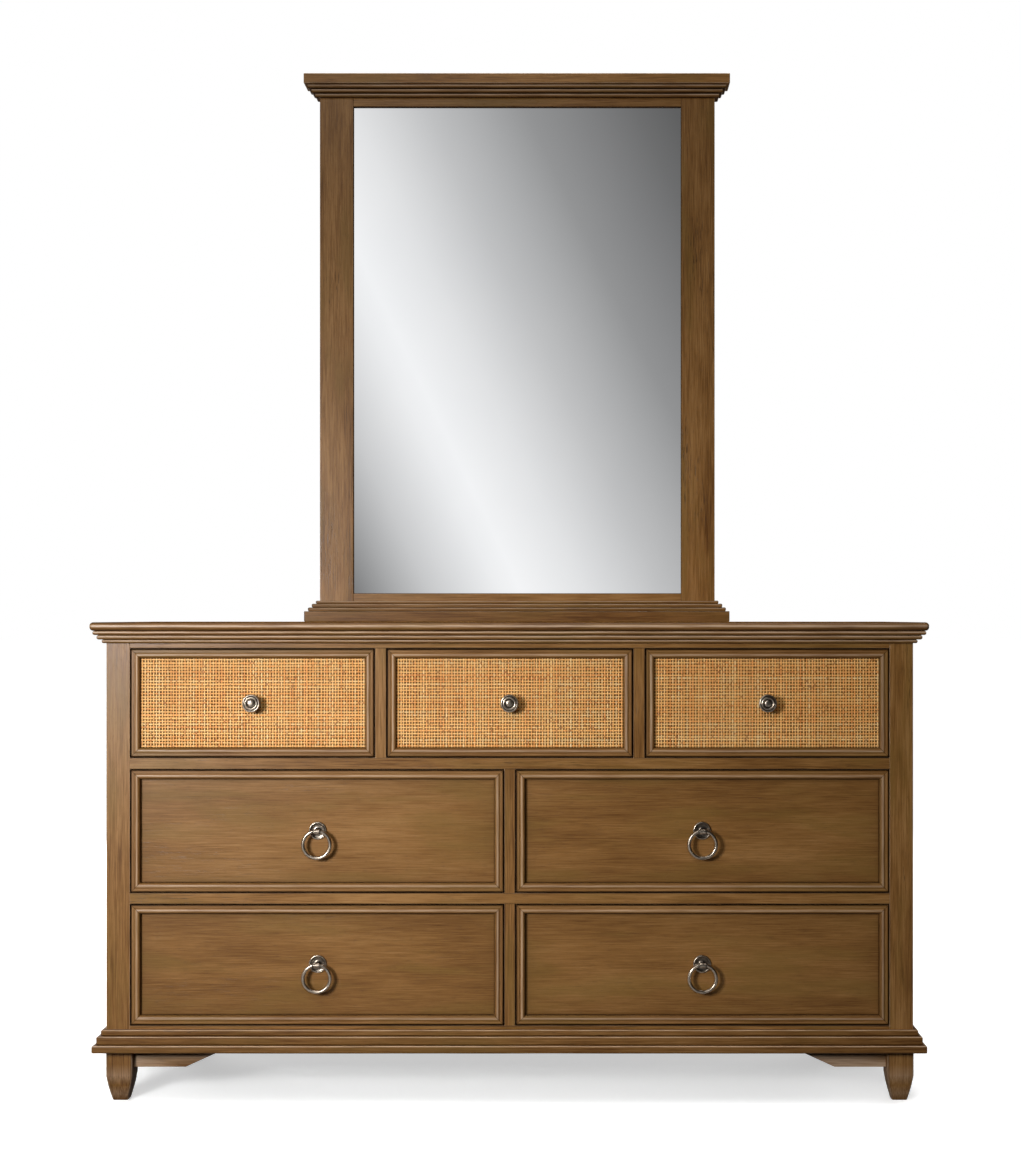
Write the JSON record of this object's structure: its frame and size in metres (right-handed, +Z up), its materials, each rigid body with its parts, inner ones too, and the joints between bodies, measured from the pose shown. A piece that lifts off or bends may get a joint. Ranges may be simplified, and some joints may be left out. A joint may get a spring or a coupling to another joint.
{
  "type": "dresser with mirror",
  "caption": "Wooden dresser with inset drawers, woven cane fronts in the top row, round knobs and hanging ring pulls, and a tall framed mirror standing on the top.",
  "frame": {"origin": "on the floor, under the middle of the overall box", "axes": "+Z up, the drawers open towards -Y, +X to the right seen from the front"},
  "size_m": [1.575, 0.482, 2.0665],
  "materials": {
    "wood_finish": "brown glazed finish, satin",
    "case_wood": "unfinished secondary wood and plywood",
    "drawer_wood": "clear sealed drawer wood",
    "cane": "natural woven cane",
    "nickel": "satin nickel plate",
    "steel": "zinc plated screws",
    "mirror": "silvered plate glass"
  },
  "bodies": {
    "root": {"top_board": "wood_finish", "crown_moulding": "wood_finish", "side_panel_left": "wood_finish", "side_panel_right": "wood_finish", "stile_left": "wood_finish", "stile_right": "wood_finish", "top_rail": "wood_finish", "upper_rail": "wood_finish", "lower_rail": "wood_finish", "bottom_rail": "wood_finish", "face_dividers": "wood_finish", "partitions": "case_wood", "side_bearers": "case_wood", "centre_runners": "case_wood", "rear_rails": "case_wood", "back_panel": "case_wood", "bottom_panel": "case_wood", "base_moulding": "wood_finish", "front_feet": "wood_finish", "rear_feet": "wood_finish", "apron_brackets": "wood_finish", "mirror_stile_left": "wood_finish", "mirror_stile_right": "wood_finish", "mirror_top_rail": "wood_finish", "mirror_bottom_rail": "wood_finish", "mirror_crown": "wood_finish", "mirror_base": "wood_finish", "mirror_glass": "mirror", "mirror_backboard": "case_wood", "mirror_supports": "case_wood", "support_screws": "steel"},
    "drawer_upper_left": {"drawer_upper_left_front": "wood_finish", "drawer_upper_left_box": "drawer_wood", "cane_upper_left": "cane", "knob_upper_left": "nickel"},
    "drawer_upper_middle": {"drawer_upper_middle_front": "wood_finish", "drawer_upper_middle_box": "drawer_wood", "cane_upper_middle": "cane", "knob_upper_middle": "nickel"},
    "drawer_upper_right": {"drawer_upper_right_front": "wood_finish", "drawer_upper_right_box": "drawer_wood", "cane_upper_right": "cane", "knob_upper_right": "nickel"},
    "drawer_middle_left": {"drawer_middle_left_front": "wood_finish", "drawer_middle_left_box": "drawer_wood", "pull_plate_middle_left": "nickel"},
    "pull_ring_middle_left": {"pull_ring_middle_left": "nickel"},
    "drawer_middle_right": {"drawer_middle_right_front": "wood_finish", "drawer_middle_right_box": "drawer_wood", "pull_plate_middle_right": "nickel"},
    "pull_ring_middle_right": {"pull_ring_middle_right": "nickel"},
    "drawer_lower_left": {"drawer_lower_left_front": "wood_finish", "drawer_lower_left_box": "drawer_wood", "pull_plate_lower_left": "nickel"},
    "pull_ring_lower_left": {"pull_ring_lower_left": "nickel"},
    "drawer_lower_right": {"drawer_lower_right_front": "wood_finish", "drawer_lower_right_box": "drawer_wood", "pull_plate_lower_right": "nickel"},
    "pull_ring_lower_right": {"pull_ring_lower_right": "nickel"}
  },
  "joints": [
    {"name": "drawer_upper_left_slide", "type": "slide", "parent": "root", "child": "drawer_upper_left", "axis": [0, -1, 0], "range_m": [0, 0.33]},
    {"name": "drawer_upper_middle_slide", "type": "slide", "parent": "root", "child": "drawer_upper_middle", "axis": [0, -1, 0], "range_m": [0, 0.33]},
    {"name": "drawer_upper_right_slide", "type": "slide", "parent": "root", "child": "drawer_upper_right", "axis": [0, -1, 0], "range_m": [0, 0.33]},
    {"name": "drawer_middle_left_slide", "type": "slide", "parent": "root", "child": "drawer_middle_left", "axis": [0, -1, 0], "range_m": [0, 0.33]},
    {"name": "pull_ring_middle_left_hinge", "type": "hinge", "parent": "drawer_middle_left", "child": "pull_ring_middle_left", "pos_m": [-0.3637, -0.22, 0.5106], "axis": [-1, 0, 0], "range_deg": [-12, 165]},
    {"name": "drawer_middle_right_slide", "type": "slide", "parent": "root", "child": "drawer_middle_right", "axis": [0, -1, 0], "range_m": [0, 0.33]},
    {"name": "pull_ring_middle_right_hinge", "type": "hinge", "parent": "drawer_middle_right", "child": "pull_ring_middle_right", "pos_m": [0.3637, -0.22, 0.5106], "axis": [-1, 0, 0], "range_deg": [-12, 165]},
    {"name": "drawer_lower_left_slide", "type": "slide", "parent": "root", "child": "drawer_lower_left", "axis": [0, -1, 0], "range_m": [0, 0.33]},
    {"name": "pull_ring_lower_left_hinge", "type": "hinge", "parent": "drawer_lower_left", "child": "pull_ring_lower_left", "pos_m": [-0.3637, -0.22, 0.2583], "axis": [-1, 0, 0], "range_deg": [-12, 165]},
    {"name": "drawer_lower_right_slide", "type": "slide", "parent": "root", "child": "drawer_lower_right", "axis": [0, -1, 0], "range_m": [0, 0.33]},
    {"name": "pull_ring_lower_right_hinge", "type": "hinge", "parent": "drawer_lower_right", "child": "pull_ring_lower_right", "pos_m": [0.3637, -0.22, 0.2583], "axis": [-1, 0, 0], "range_deg": [-12, 165]}
  ]
}
